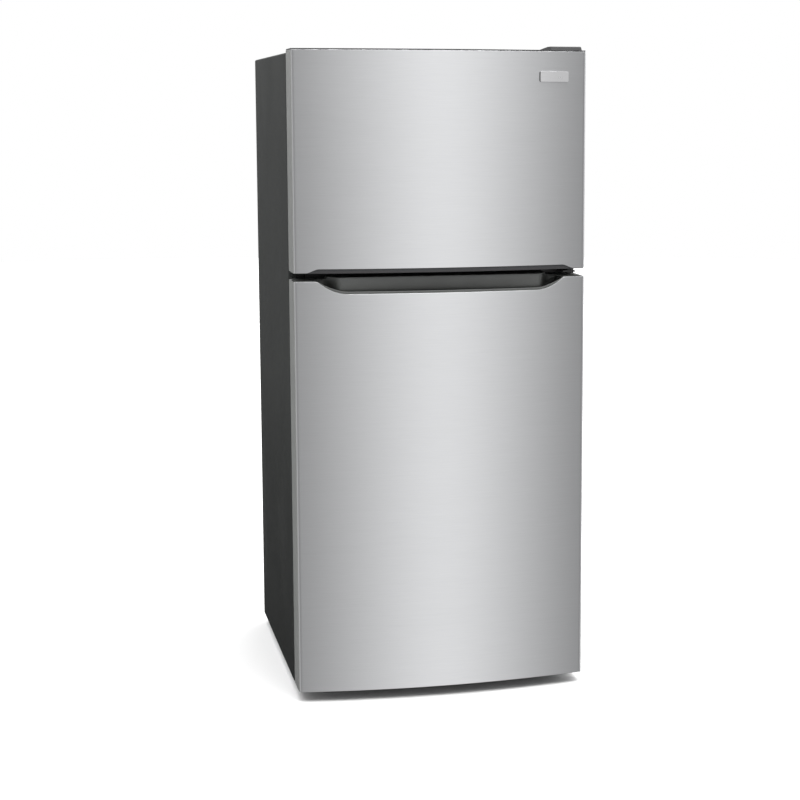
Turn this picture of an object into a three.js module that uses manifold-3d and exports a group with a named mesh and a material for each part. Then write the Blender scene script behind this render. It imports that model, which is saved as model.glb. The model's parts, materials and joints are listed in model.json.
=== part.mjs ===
// A top freezer refrigerator: a foamed steel cabinet, two bowed doors hinged on the right, and what
// they hold. Millimetres, +Z up, doors facing -Y, origin on the floor under the middle of the box.
import * as THREE from "three";
import { mergeVertices } from "three/addons/utils/BufferGeometryUtils.js";
import Module from "manifold-3d";

const wasm = await Module();
wasm.setup();

// ---------------------------------------------------------------- driving dimensions
const WIDTH = 762;
const DEPTH = 813;
const HEIGHT = 1686;
const GAP = 0.3; // between pieces that touch
const SHEET = 1.2; // painted cabinet steel
const SKIN = 1; // stainless door steel
const LINER = 2; // moulded liners

const HALF = WIDTH / 2;
const REAR = DEPTH / 2;
const CABINET = { front: -275.5, rear: REAR - 2, bottom: 27, top: 1668, flange: 44 };
const DOOR = { rear: -287.5, side: -376, bow: 30.5, corner: 7 }; // side: front of the skin at its edges
const FREEZER_DOOR = { bottom: 1116.5, top: 1676 };
const FRIDGE_DOOR = { bottom: 27, top: 1097.5 };
const HINGE = { x: 350, y: -335, pin: 5, hole: 5.4 };

const FREEZER = { half: 322, bottom: 1140, top: 1605, back: 355 };
const FRIDGE = { half: 328, bottom: 85, top: 1075, back: 355, stepY: 170, stepZ: 275 };
const LINER_EDGE = HALF - CABINET.flange - GAP; // where a liner's flange meets the side panel's
const MACHINE = { front: 212, top: 232, floor: 30.3 }; // compressor compartment, low at the back
const EVAPORATOR_COVER = { front: 282, thick: 3 };

const DIKE = { half: 312, width: 30, reach: -255, floor: -300 }; // rib round the inside of each door
const GASKET = { outer: 348, width: 15 };
const SCOOP = { flat: 245, edge: 322, depth: 32, lip: 10 }; // handle dip in the fridge door's top edge
const RAISE = { flat: 318, edge: 352, height: 10 }; // rise in the freezer door's lower edge
const POCKET = { half: 250, wall: 6, back: -364, depth: 22 }; // finger trough behind the handle's lip
const AHEAD = -450; // in front of everything, where a cutter can start

const SHELF = { half: 326, front: -150, back: 340, thick: 16 };
const CRISPER = { wide: 317, front: -115, back: 158, bottom: 86, height: 206, wall: 2.5 };
const BIN = { half: DIKE.half - DIKE.width - LINER - 2 * GAP, wall: 2.5 };
const ROLLER = { x: 300, y: 360, radius: 18, wide: 24, axle: 4 };
const LEG = { x: 296, y: -246, foot: 16, stem: 5 };
const FAN = { radius: 56, hub: 17, blades: 4, depth: 16 };

// ---------------------------------------------------------------- materials
const paint = (color, roughness, metalness = 0) => new THREE.MeshStandardMaterial({ color, roughness, metalness });
const stainless = paint(0xb9babc, 0.32, 1);
const charcoal = paint(0x48494a, 0.6, 0.3);
const darkPlastic = paint(0x2c2d2f, 0.5);
const whitePlastic = paint(0xe9ebec, 0.35);
const clearPlastic = paint(0xdde6ea, 0.1);
const glass = paint(0xcfe3df, 0.05);
const rubber = paint(0x8d9092, 0.8);
const foam = paint(0xe6d9a8, 0.9);
const zinc = paint(0x9a9da0, 0.45, 0.9);
const blackSteel = paint(0x1b1c1e, 0.45, 0.4);
const aluminium = paint(0xc4c7ca, 0.35, 1);
const copper = paint(0xb0714a, 0.35, 1);
const badgeMetal = paint(0xd2d4d7, 0.2, 1);

// ---------------------------------------------------------------- solids
// A closed three.js geometry as a solid that can be joined and cut.
function solid(geometry) {
  const bare = geometry.clone();
  bare.deleteAttribute("normal");
  bare.deleteAttribute("uv");
  const merged = mergeVertices(bare, 1e-4);
  const vertProperties = merged.attributes.position.array;
  const triVerts = new Uint32Array(merged.index.array);
  return new wasm.Manifold(new wasm.Mesh({ numProp: 3, vertProperties, triVerts }));
}

function geometryOf(body) {
  const { vertProperties, triVerts } = body.getMesh();
  const geometry = new THREE.BufferGeometry();
  geometry.setAttribute("position", new THREE.BufferAttribute(vertProperties, 3));
  geometry.setIndex(new THREE.BufferAttribute(triVerts, 1));
  geometry.computeVertexNormals();
  return geometry;
}

function block([x0, x1], [y0, y1], [z0, z1]) {
  const geometry = new THREE.BoxGeometry(x1 - x0, y1 - y0, z1 - z0);
  return solid(geometry.translate((x0 + x1) / 2, (y0 + y1) / 2, (z0 + z1) / 2));
}

// An outline drawn in the plane across an axis, given depth along that axis.
const PLANES = {
  x: [new THREE.Vector3(0, 1, 0), new THREE.Vector3(0, 0, 1), new THREE.Vector3(1, 0, 0)],
  y: [new THREE.Vector3(1, 0, 0), new THREE.Vector3(0, 0, 1), new THREE.Vector3(0, -1, 0)],
  z: [new THREE.Vector3(1, 0, 0), new THREE.Vector3(0, 1, 0), new THREE.Vector3(0, 0, 1)],
};
function prism(axis, points, from, to) {
  const shape = new THREE.Shape(points.map(([u, v]) => new THREE.Vector2(u, v)));
  const geometry = new THREE.ExtrudeGeometry(shape, { depth: to - from, bevelEnabled: false });
  geometry.applyMatrix4(new THREE.Matrix4().makeBasis(...PLANES[axis]));
  const along = axis === "y" ? -to : from;
  return solid(geometry.translate(...PLANES[axis][2].clone().multiplyScalar(along).toArray()));
}

// A round bar between two points.
function rod(from, to, radius, sides = 16) {
  const a = new THREE.Vector3(...from);
  const b = new THREE.Vector3(...to);
  const geometry = new THREE.CylinderGeometry(radius, radius, a.distanceTo(b), sides);
  const along = b.clone().sub(a).normalize();
  const turn = new THREE.Quaternion().setFromUnitVectors(new THREE.Vector3(0, 1, 0), along);
  geometry.applyQuaternion(turn);
  return solid(geometry.translate(...a.add(b).divideScalar(2).toArray()));
}

const join = (bodies) => bodies.reduce((all, body) => all.add(body));
const cut = (body, tools) => tools.reduce((left, tool) => left.subtract(tool), body);

function part(name, body, material, position = [0, 0, 0]) {
  const mesh = new THREE.Mesh(geometryOf(body), material);
  mesh.name = name;
  mesh.position.set(...position);
  return mesh;
}

function assembly(position, parts) {
  const group = new THREE.Group();
  group.position.set(...position);
  group.add(...parts);
  return group;
}

// An open-topped tray: width, depth and height from its lower left front corner, with walls and floor.
function tray(wide, deep, high, wall) {
  const outer = block([0, wide], [0, deep], [0, high]);
  return outer.subtract(block([wall, wide - wall], [wall, deep - wall], [wall, high + 1]));
}

// ---------------------------------------------------------------- cabinet
// A folded sheet, seen from above as a wall with a wide return at the front and a narrow one at the back.
function sidePanel(name, side) {
  const { front, rear, bottom, top, flange } = CABINET;
  const inside = HALF - SHEET;
  const outline = [
    [HALF, front],
    [HALF, rear],
    [HALF - 14, rear],
    [HALF - 14, rear - SHEET],
    [inside, rear - SHEET],
    [inside, front + SHEET],
    [HALF - flange, front + SHEET],
    [HALF - flange, front],
  ];
  const folded = outline.map(([x, y]) => [side * x, y]);
  return part(name, prism("z", folded, bottom, top - SHEET - GAP), charcoal);
}

function topPanel() {
  const { front, rear, top, flange } = CABINET;
  const plate = block([-HALF, HALF], [front, rear], [top - SHEET, top]);
  const lip = block([-LINER_EDGE, LINER_EDGE], [front, front + SHEET], [top - flange, top - SHEET / 2]);
  return part("top_panel", plate.add(lip), charcoal);
}

function backPanel() {
  const outline = [[-HALF + 2, 250], [HALF - 2, 250], [HALF - 2, CABINET.top - 3], [-HALF + 2, CABINET.top - 3]];
  return part("back_panel", prism("y", outline, REAR - 1.7, REAR), charcoal);
}

// A moulded tub, open at the front, with a flange that meets the cabinet's front edge.
function liner(name, inner, flangeBottom, flangeTop, ribs) {
  const { front } = CABINET;
  const flange = block([-LINER_EDGE, LINER_EDGE], [front, front + LINER], [flangeBottom, flangeTop]);
  const shell = inner(LINER).add(flange);
  return part(name, cut(shell, [inner(0)]).add(join(ribs)), whitePlastic);
}

const freezerSpace = (grow) =>
  block(
    [-FREEZER.half - grow, FREEZER.half + grow],
    [CABINET.front - (grow ? 0 : 1), FREEZER.back + grow],
    [FREEZER.bottom - grow, FREEZER.top + grow],
  );

// The fridge space steps up at the back, over the compressor.
function fridgeSpace(grow) {
  const front = CABINET.front - (grow ? 0 : 1);
  const { bottom, top, back, stepY, stepZ, half } = FRIDGE;
  const outline = [
    [front, bottom - grow],
    [stepY + grow, bottom - grow],
    [stepY + grow, stepZ - grow],
    [back + grow, stepZ - grow],
    [back + grow, top + grow],
    [front, top + grow],
  ];
  return prism("x", outline, -half - grow, half + grow);
}

// Ribs along both walls that a shelf slides in on.
function ledges(half, height, depth = 460) {
  return [-1, 1].map((side) => {
    const inner = side * (half - 9);
    const outer = side * (half + LINER / 2);
    const x = [Math.min(inner, outer), Math.max(inner, outer)];
    return block(x, [SHELF.front + 20, SHELF.front + 20 + depth], [height - 8, height]);
  });
}

const SHELVES = { upper: 840, lower: 580, crisper: 303 };
const WIRE_SHELF = 1372;

function cabinetFoam() {
  const { front, rear, top } = CABINET;
  const inside = HALF - SHEET - GAP;
  const y = [front + SHEET + GAP, rear - SHEET - GAP];
  const all = block([-inside, inside], y, [46, top - SHEET - GAP]);
  const behindFlanges = block([-LINER_EDGE - 1, LINER_EDGE + 1], [y[0] - 1, front + LINER + GAP], [0, HEIGHT]);
  const mullion = block([-HALF, HALF], [y[0] - 1, front + 17], [FRIDGE.top - 1, FREEZER.bottom + 1]);
  const machine = block([-HALF, HALF], [MACHINE.front, REAR], [0, MACHINE.top]);
  return part(
    "cabinet_foam",
    cut(all, [behindFlanges, mullion, machine, freezerSpace(LINER + GAP), fridgeSpace(LINER + GAP)]),
    foam,
  );
}

function mullionRail() {
  const bottom = FRIDGE.top + 11 + GAP;
  const top = FREEZER.bottom - 11 - GAP;
  const { front } = CABINET;
  const outline = [
    [front, bottom],
    [front + 14, bottom],
    [front + 14, bottom + SHEET],
    [front + SHEET, bottom + SHEET],
    [front + SHEET, top - SHEET],
    [front + 14, top - SHEET],
    [front + 14, top],
    [front, top],
  ];
  return part("mullion_rail", prism("x", outline, -LINER_EDGE, LINER_EDGE), charcoal);
}

// Floor plate with the front rail, the rollers' ears and axles, and the bosses of the levelling legs.
function baseFrame() {
  const inside = HALF - SHEET - GAP;
  const { front, rear } = CABINET;
  const plateBottom = MACHINE.floor - 2;
  const plate = block([-inside, inside], [front + SHEET + GAP, rear - SHEET - GAP], [plateBottom, MACHINE.floor]);
  const rail = block([-LINER_EDGE, LINER_EDGE], [front, front + SHEET], [plateBottom, 73.7]);
  const tie = block([-LINER_EDGE, LINER_EDGE], [front, front + 4], [plateBottom, MACHINE.floor]);
  const bodies = [plate, rail, tie];
  const holes = [];
  for (const side of [-1, 1]) {
    const x = side * ROLLER.x;
    for (const ear of [-1, 1]) {
      const at = x + ear * (ROLLER.wide / 2 + 3);
      bodies.push(block([at - 1.5, at + 1.5], [ROLLER.y - 14, ROLLER.y + 14], [9, plateBottom + 1]));
    }
    const reach = ROLLER.wide / 2 + 4;
    bodies.push(rod([x - reach, ROLLER.y, ROLLER.radius], [x + reach, ROLLER.y, ROLLER.radius], ROLLER.axle, 12));
    holes.push(block([x - 13.3, x + 13.3], [ROLLER.y - 20, ROLLER.y + 20], [plateBottom - 1, MACHINE.floor + 1]));
    bodies.push(rod([side * LEG.x, LEG.y, 19], [side * LEG.x, LEG.y, plateBottom + 1], 12));
  }
  const drilled = [-1, 1].map((side) => rod([side * LEG.x, LEG.y, 0], [side * LEG.x, LEG.y, 60], LEG.stem + 0.5));
  return part("base_frame", cut(join([cut(join(bodies.slice(0, 3)), holes), ...bodies.slice(3)]), drilled), zinc);
}

function levellingLeg(name, side) {
  const stem = rod([0, 0, 4], [0, 0, 44], LEG.stem);
  const foot = rod([0, 0, 0], [0, 0, 8], LEG.foot, 24);
  const flats = rod([0, 0, 8], [0, 0, 15], 9, 6);
  return part(name, join([stem, foot, flats]), zinc, [side * LEG.x, LEG.y, 0]);
}

function roller(name, side) {
  const half = ROLLER.wide / 2;
  const wheel = rod([-half, 0, 0], [half, 0, 0], ROLLER.radius, 32);
  const bore = rod([-half - 1, 0, 0], [half + 1, 0, 0], ROLLER.axle + 0.5, 16);
  return part(name, wheel.subtract(bore), darkPlastic, [side * ROLLER.x, ROLLER.y, ROLLER.radius]);
}

// A flat plate across Y with rows of upright slots cut through it.
function slottedPlate(x, y, z, slots) {
  const cuts = slots.flatMap(({ from, to, count, wide, high, centre }) =>
    Array.from({ length: count }, (_, i) => {
      const at = count > 1 ? from + ((to - from) * i) / (count - 1) : from;
      return block([at - wide / 2, at + wide / 2], [y[0] - 1, y[1] + 1], [centre - high / 2, centre + high / 2]);
    }),
  );
  return cut(block(x, y, z), cuts);
}

function toeGrille() {
  const plate = slottedPlate([-270, 270], [-262, -259], [4, 26], [
    { from: -240, to: 240, count: 25, wide: 10, high: 12, centre: 15 },
  ]);
  const returns = [-1, 1].map((side) => block([side * 268 - 2, side * 268 + 2], [-261, -240], [6, 26]));
  return part("toe_grille", join([plate, ...returns]), darkPlastic);
}

function machineCover() {
  const plate = slottedPlate([-HALF + 16, HALF - 16], [REAR - 1.7, REAR], [36, 248], [
    { from: -300, to: 300, count: 21, wide: 14, high: 60, centre: 190 },
    { from: -300, to: 300, count: 21, wide: 14, high: 44, centre: 90 },
  ]);
  return part("machine_cover", plate, charcoal);
}

// ---------------------------------------------------------------- hinges
function topHinge() {
  const { x, y, pin } = HINGE;
  const over = FREEZER_DOOR.top + 1;
  const on = CABINET.top + GAP;
  const thick = 2.5;
  const profile = [
    [y - 15, over],
    [CABINET.front + 7.5, over],
    [CABINET.front + 7.5, on],
    [CABINET.front + 85, on],
    [CABINET.front + 85, on + thick],
    [CABINET.front + 10, on + thick],
    [CABINET.front + 10, over + thick],
    [y - 15, over + thick],
  ];
  const leaf = prism("x", profile, x - 34, x + 12);
  const down = rod([x, y, FREEZER_DOOR.top - 16], [x, y, over + 1], pin);
  const bracket = part("top_hinge_bracket", leaf.add(down), zinc);

  const outer = [
    [y - 28, FREEZER_DOOR.top + 0.6],
    [y - 25, HEIGHT - 1.5],
    [y - 20, HEIGHT],
    [y + 10, HEIGHT],
    [CABINET.front + 12, over + 4.8],
    [CABINET.front + 98, on + 6.5],
    [CABINET.front + 110, on],
    [CABINET.front + 5, on],
    [CABINET.front + 5, FREEZER_DOOR.top + 0.6],
  ];
  const inner = [
    [y - 18, on - 5],
    [y - 18, HEIGHT - 1.6],
    [y + 8, HEIGHT - 1.6],
    [CABINET.front + 12, over + 3.2],
    [CABINET.front + 92, on + 4.8],
    [CABINET.front + 92, on - 5],
  ];
  const front = [[288, on], [374, on], [371.5, HEIGHT], [290.5, HEIGHT]];
  const solid = prism("x", outer, 280, 380).intersect(prism("y", front, AHEAD, 0));
  const shell = solid.subtract(prism("x", inner, 294, 367));
  return [bracket, part("top_hinge_cover", shell, darkPlastic)];
}

function centreHinge() {
  const { x, y, pin } = HINGE;
  const middle = (FRIDGE_DOOR.top + FREEZER_DOOR.bottom) / 2;
  const face = CABINET.front - GAP;
  const plate = block([x - 20, x + 14], [y - 12, face], [middle - 2, middle + 2]);
  const flange = block([x - 60, x + 20], [face - 3, face], [middle - 8.5, middle + 8.5]);
  const up = rod([x, y, middle - 28], [x, y, middle + 28], pin);
  const collar = rod([x, y, middle - 6], [x, y, middle + 6], 9);
  return part("centre_hinge_bracket", join([plate, flange, up, collar]), zinc);
}

function bottomHinge() {
  const { x, y, pin } = HINGE;
  const top = FRIDGE_DOOR.bottom - 1.5;
  const plate = block([x - 24, x + 24], [y - 14, CABINET.front + 70], [top - 4, top]);
  const tab = block([x - 24, x + 24], [CABINET.front + 30, CABINET.front + 70], [top - 4, MACHINE.floor - 2 - GAP]);
  const up = rod([x, y, top - 2], [x, y, top + 18], pin);
  const collar = rod([x, y, top - 1], [x, y, top + 1], 9);
  return part("bottom_hinge_bracket", join([plate, tab, up, collar]), zinc);
}

// ---------------------------------------------------------------- inside the cabinet
function shelf(prefix, height, withGlass) {
  const { half, front, back, thick } = SHELF;
  const rim = 16;
  const outer = block([-half, half], [front, back], [0, thick]);
  const opening = block([-half + rim, half - rim], [front + rim, back - rim], [-1, thick + 1]);
  const rebate = block([-half + 10, half - 10], [front + 10, back - 10], [thick - 4.4, thick + 1]);
  const parts = [part(prefix + "_frame", cut(outer, [opening, rebate]), whitePlastic)];
  const inset = 10 + GAP;
  const pane = block([-half + inset, half - inset], [front + inset, back - inset], [thick - 4, thick]);
  if (withGlass) parts.push(part(prefix + "_glass", pane, glass));
  return assembly([0, 0, height + GAP], parts);
}

// The crisper cover is one moulded plate with a front rail and a centre rib that both drawers run beside.
function crisperCover() {
  const { half, front, back } = SHELF;
  const plate = block([-half, half], [front, back], [6, 12]);
  const rail = block([-half, half], [front, front + 12], [0, 16]);
  const rib = block([-1.5, 1.5], [front, FRIDGE.stepY - 4], [-30, 8]);
  return part("crisper_cover", join([plate, rail, rib]), clearPlastic, [0, 0, SHELVES.crisper + GAP]);
}

function crisper(side) {
  const { wide, front, back, bottom, height, wall } = CRISPER;
  const body = tray(wide, back - front, height, wall);
  const panel = block([0, wide], [-5, wall], [0, height]);
  const grip = prism("x", [[-5, height - 58], [-19, height - 52], [-19, height - 44], [-5, height - 36]], 70, wide - 70);
  const name = side < 0 ? "left" : "right";
  const at = [side < 0 ? -4 - wide : 4, front, bottom];
  const box = part("crisper_" + name, join([body, panel, grip]), clearPlastic);
  const tab = block([0, 26], [-5, -GAP], [0, 12]);
  const pip = block([11, 15], [-10, -4], [1, 11]);
  const slider = part("humidity_slider_" + name, tab.add(pip), whitePlastic, [22, -5, height - 22]);
  return assembly(at, [box, slider]);
}

function wireShelf() {
  const { half, front, back } = { half: FREEZER.half - 3, front: SHELF.front, back: 276 };
  const wires = [];
  for (const y of [front, (front + back) / 2, back]) wires.push(rod([-half, y, 0], [half, y, 0], 3.5, 8));
  const count = 15;
  for (let i = 0; i < count; i += 1) {
    const x = -half + 14 + ((2 * half - 28) * i) / (count - 1);
    wires.push(rod([x, front - 1, 3.2], [x, back + 1, 3.2], 2, 6));
  }
  return part("freezer_wire_shelf", join(wires), whitePlastic, [0, 0, WIRE_SHELF + 3.5 + GAP]);
}

// Hollow box under the fridge ceiling that holds the lamp, the thermostat and the door switch.
const CONTROLS = { half: 170, front: -205, back: 80, bottom: 1032 };
const SWITCH = { x: 120, z: 1046, radius: 4 };
const KNOB = { x: -70, z: 1053, radius: 15 };
function controls() {
  const { half, front, back, bottom } = CONTROLS;
  const top = FRIDGE.top - GAP;
  const outer = block([-half, half], [front, back], [bottom, top]);
  const hollow = block([-half + 2, half - 2], [front + 3, back - 2], [bottom + 2, top + 1]);
  const lamp = block([-60, 60], [front + 90, front + 190], [bottom - 1, bottom + 3]);
  const bore = rod([SWITCH.x, front - 1, SWITCH.z], [SWITCH.x, front + 10, SWITCH.z], SWITCH.radius + 0.4);
  const knobHole = rod([KNOB.x, front - 1, KNOB.z], [KNOB.x, front + 10, KNOB.z], 5.4);
  const knob = join([
    rod([0, -14, 0], [0, -GAP, 0], KNOB.radius, 24),
    rod([0, -2, 0], [0, 14, 0], 5),
    block([-2.5, 2.5], [-19, -10], [-KNOB.radius + 1, KNOB.radius - 1]),
  ]);
  const length = front - DIKE.reach - 0.6;
  const plunger = join([
    rod([0, 0, 0], [0, length + 22, 0], SWITCH.radius, 12),
    rod([0, length + 12, 0], [0, length + 14, 0], 7, 12),
  ]);
  return [
    part("control_housing", cut(outer, [hollow, lamp, bore, knobHole]), whitePlastic),
    part("temperature_knob", knob, whitePlastic, [KNOB.x, front, KNOB.z]),
    part("light_switch_plunger", plunger, whitePlastic, [SWITCH.x, DIKE.reach + 0.6, SWITCH.z]),
  ];
}

function fan(name, material, position) {
  const { radius, hub, blades, depth } = FAN;
  const bodies = [rod([0, -depth / 2, 0], [0, depth / 2, 0], hub, 24)];
  for (let i = 0; i < blades; i += 1) {
    const blade = new THREE.BoxGeometry(radius - hub + 6, 1.6, 30);
    blade.rotateX(THREE.MathUtils.degToRad(24));
    blade.translate((radius + hub) / 2 - 3, 0, 0);
    blade.rotateY((i * 2 * Math.PI) / blades);
    bodies.push(solid(blade));
  }
  return part(name, join(bodies), material, position);
}

// Thin fins on straight runs of tube, one body because every tube passes through every fin.
function finnedCoil(name, { half, deep, high, fins, rows }, material, position) {
  const bodies = [];
  for (let i = 0; i < fins; i += 1) {
    const x = -half + (2 * half * i) / (fins - 1);
    bodies.push(block([x - 0.6, x + 0.6], [-deep / 2, deep / 2], [0, high]));
  }
  for (let row = 0; row < rows; row += 1) {
    const z = (high * (row + 0.5)) / rows;
    bodies.push(rod([-half - 12, 0, z], [half + 12, 0, z], 4.5, 6));
  }
  return part(name, join(bodies), material, position);
}

const EVAPORATOR_FAN = { z: 1500, y: 303 };
function evaporator() {
  const { front, thick } = EVAPORATOR_COVER;
  const side = FREEZER.half - GAP * 2;
  const z = [FREEZER.bottom + GAP, FREEZER.top - GAP];
  const cover = slottedPlate([-side, side], [front, front + thick], z, [
    { from: -48, to: 48, count: 9, wide: 6, high: 84, centre: EVAPORATOR_FAN.z },
    { from: -200, to: 200, count: 17, wide: 8, high: 26, centre: FREEZER.bottom + 40 },
  ]);
  const y = EVAPORATOR_FAN.y + FAN.depth / 2 + 1;
  const motor = join([
    rod([0, y, 0], [0, y + 28, 0], 24, 24),
    block([-60, 60], [y + 20, FREEZER.back - GAP], [-8, 8]),
  ]);
  const coil = { half: 240, deep: 46, high: 150, fins: 13, rows: 3 };
  return [
    part("evaporator_cover", cover, whitePlastic),
    part("evaporator_fan_motor", motor, darkPlastic, [0, 0, EVAPORATOR_FAN.z]),
    fan("evaporator_fan", whitePlastic, [0, EVAPORATOR_FAN.y, EVAPORATOR_FAN.z]),
    finnedCoil("evaporator_coil", coil, aluminium, [0, 322, FREEZER.bottom + 70]),
  ];
}

// Hermetic compressor: a domed steel can on a foot plate.
function compressor() {
  const points = [[0, 0], [78, 0], [80, 6], [80, 92]];
  const dome = 12;
  for (let i = 1; i <= dome; i += 1) {
    const turn = (i * Math.PI) / 2 / dome;
    points.push([80 * Math.cos(turn), 92 + 66 * Math.sin(turn)]);
  }
  const outline = points.map(([x, y]) => new THREE.Vector2(Math.max(x, 0), y));
  outline[outline.length - 1].x = 0;
  const can = solid(new THREE.LatheGeometry(outline, 32).rotateX(Math.PI / 2)).translate([0, 0, 8]);
  const plate = block([-95, 95], [-82, 82], [0, 4]);
  const neck = rod([0, 0, 2], [0, 0, 20], 60, 24);
  const terminal = block([76, 96], [-22, 22], [40, 84]);
  return part("compressor", join([can, plate, neck, terminal]), blackSteel, [-178, 306, MACHINE.floor + GAP]);
}

const CONDENSER_FAN = { x: 40, y: 306, z: 120 };
function condenser() {
  const { x, y, z } = CONDENSER_FAN;
  const motor = join([
    rod([0, 0, 0], [0, 34, 0], 22, 24),
    block([-7, 7], [4, 30], [-z + MACHINE.floor + GAP, -8]),
    block([-40, 40], [0, 40], [-z + MACHINE.floor + GAP, -z + MACHINE.floor + 4]),
  ]);
  const coil = { half: 86, deep: 90, high: 150, fins: 11, rows: 3 };
  const pan = tray(210, 104, 26, 2);
  return [
    part("condenser_fan_motor", motor, blackSteel, [x, y + FAN.depth / 2 + 1, z]),
    fan("condenser_fan", darkPlastic, [x, y, z]),
    finnedCoil("condenser_coil", coil, blackSteel, [240, 306, MACHINE.floor + 34]),
    part("drain_pan", pan, darkPlastic, [135, 232, MACHINE.floor + GAP]),
  ];
}

// ---------------------------------------------------------------- doors
// Seen from above: flat sides, a bowed front and rounded corners between them.
function doorPlan(inset, rear) {
  const side = HALF - inset;
  const chord = HALF - DOOR.corner;
  const bowRadius = (chord * chord + DOOR.bow * DOOR.bow) / (2 * DOOR.bow);
  const centreY = DOOR.side + bowRadius - DOOR.bow;
  const radius = bowRadius - inset;
  const half = Math.asin((side - DOOR.corner + inset) / radius);
  const steps = 24;
  const points = [[side, rear], [side, DOOR.side + DOOR.corner + 2]];
  for (let i = 0; i <= steps; i += 1) {
    const turn = half - (2 * half * i) / steps;
    points.push([radius * Math.sin(turn), centreY - radius * Math.cos(turn)]);
  }
  points.push([-side, DOOR.side + DOOR.corner + 2], [-side, rear]);
  return points;
}

const doorBlock = (inset, rear, bottom, top) => prism("z", doorPlan(inset, rear), bottom, top);

function doorSkin(name, bottom, top, cutter) {
  const outer = doorBlock(0, DOOR.rear, bottom, top);
  const inner = doorBlock(SKIN, 0, bottom - 1, top + 1);
  return part(name, cut(outer, [inner, ...cutter]), stainless);
}

// The dip in the fridge door's top edge, as everything above its curve.
function scoop(lift, y0, y1, half = SCOOP.edge) {
  const skinTop = FRIDGE_DOOR.top - 1.5;
  const floor = skinTop - SCOOP.depth + lift;
  const points = [];
  const steps = 8;
  const span = half - SCOOP.flat;
  for (let i = steps; i >= 0; i -= 1) {
    const along = i / steps;
    points.push([-(SCOOP.flat + span * along), floor + (SCOOP.depth - lift) * along * along]);
  }
  for (let i = 0; i <= steps; i += 1) {
    const along = i / steps;
    points.push([SCOOP.flat + span * along, floor + (SCOOP.depth - lift) * along * along]);
  }
  points.push([half, FRIDGE_DOOR.top + 5], [-half, FRIDGE_DOOR.top + 5]);
  return prism("y", points, y0, y1);
}

// The gentle rise in the freezer door's lower edge, as everything below its curve.
function raise() {
  const low = FREEZER_DOOR.bottom + 1.2;
  const points = [[-RAISE.edge, low - 5]];
  const steps = 6;
  const s = (along) => low + RAISE.height * (3 * along * along - 2 * along ** 3);
  for (let i = 0; i <= steps; i += 1) {
    points.push([-RAISE.edge + ((RAISE.edge - RAISE.flat) * i) / steps, s(i / steps)]);
  }
  for (let i = steps; i >= 0; i -= 1) {
    points.push([RAISE.edge - ((RAISE.edge - RAISE.flat) * i) / steps, s(i / steps)]);
  }
  points.push([RAISE.edge, low - 5]);
  return prism("y", points, AHEAD, HINGE.y);
}

// The moulded inside of a door: a flange, the rib that stands into the cabinet, and the bay inside it.
function doorLiner(name, z, ribZ) {
  const flangeX = HALF - SKIN - GAP;
  const { half, width, reach, floor } = DIKE;
  const made = (t) => {
    const base = block([-flangeX - t, flangeX + t], [floor - 20, DOOR.rear - t], [z[0] - t, z[1] + t]);
    const rib = block([-half + t, half - t], [floor - 10, reach - t], [ribZ[0] + t, ribZ[1] - t]);
    const bayX = half - width + t;
    const bay = block([-bayX, bayX], [floor - t, 0], [ribZ[0] + width - t, ribZ[1] - width + t]);
    return base.add(rib).subtract(bay);
  };
  const clip = block([-HALF, HALF], [floor - LINER, 0], [z[0], z[1]]);
  return part(name, made(0).subtract(made(LINER)).intersect(clip), whitePlastic);
}

function gasket(name, z) {
  const { outer, width } = GASKET;
  const y = [DOOR.rear + GAP, CABINET.front - GAP];
  const ring = block([-outer, outer], y, z);
  const inner = block([-outer + width, outer - width], [y[0] - 1, y[1] + 1], [z[0] + width, z[1] - width]);
  return part(name, ring.subtract(inner), rubber);
}

function doorFoam(name, bottom, top) {
  return part(name, doorBlock(SKIN + GAP, DIKE.floor - LINER - GAP, bottom, top), foam);
}

// The space for fingers behind a lip that follows the bow of the door.
function pocket(half, bottom, top) {
  const behindLip = doorBlock(SKIN + GAP + POCKET.wall, POCKET.back, bottom, top);
  return behindLip.intersect(block([-half, half], [AHEAD, POCKET.back], [bottom, top]));
}

const pinHole = (from, to) => rod([HINGE.x, HINGE.y, from], [HINGE.x, HINGE.y, to], HINGE.hole);
const CAP_REAR = DOOR.rear - LINER - GAP;

function bin(name, front, high, z) {
  const deep = front - DIKE.floor - GAP;
  return part(name, tray(2 * BIN.half, deep, high, BIN.wall), clearPlastic, [-BIN.half, DIKE.floor + GAP, z]);
}

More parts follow.
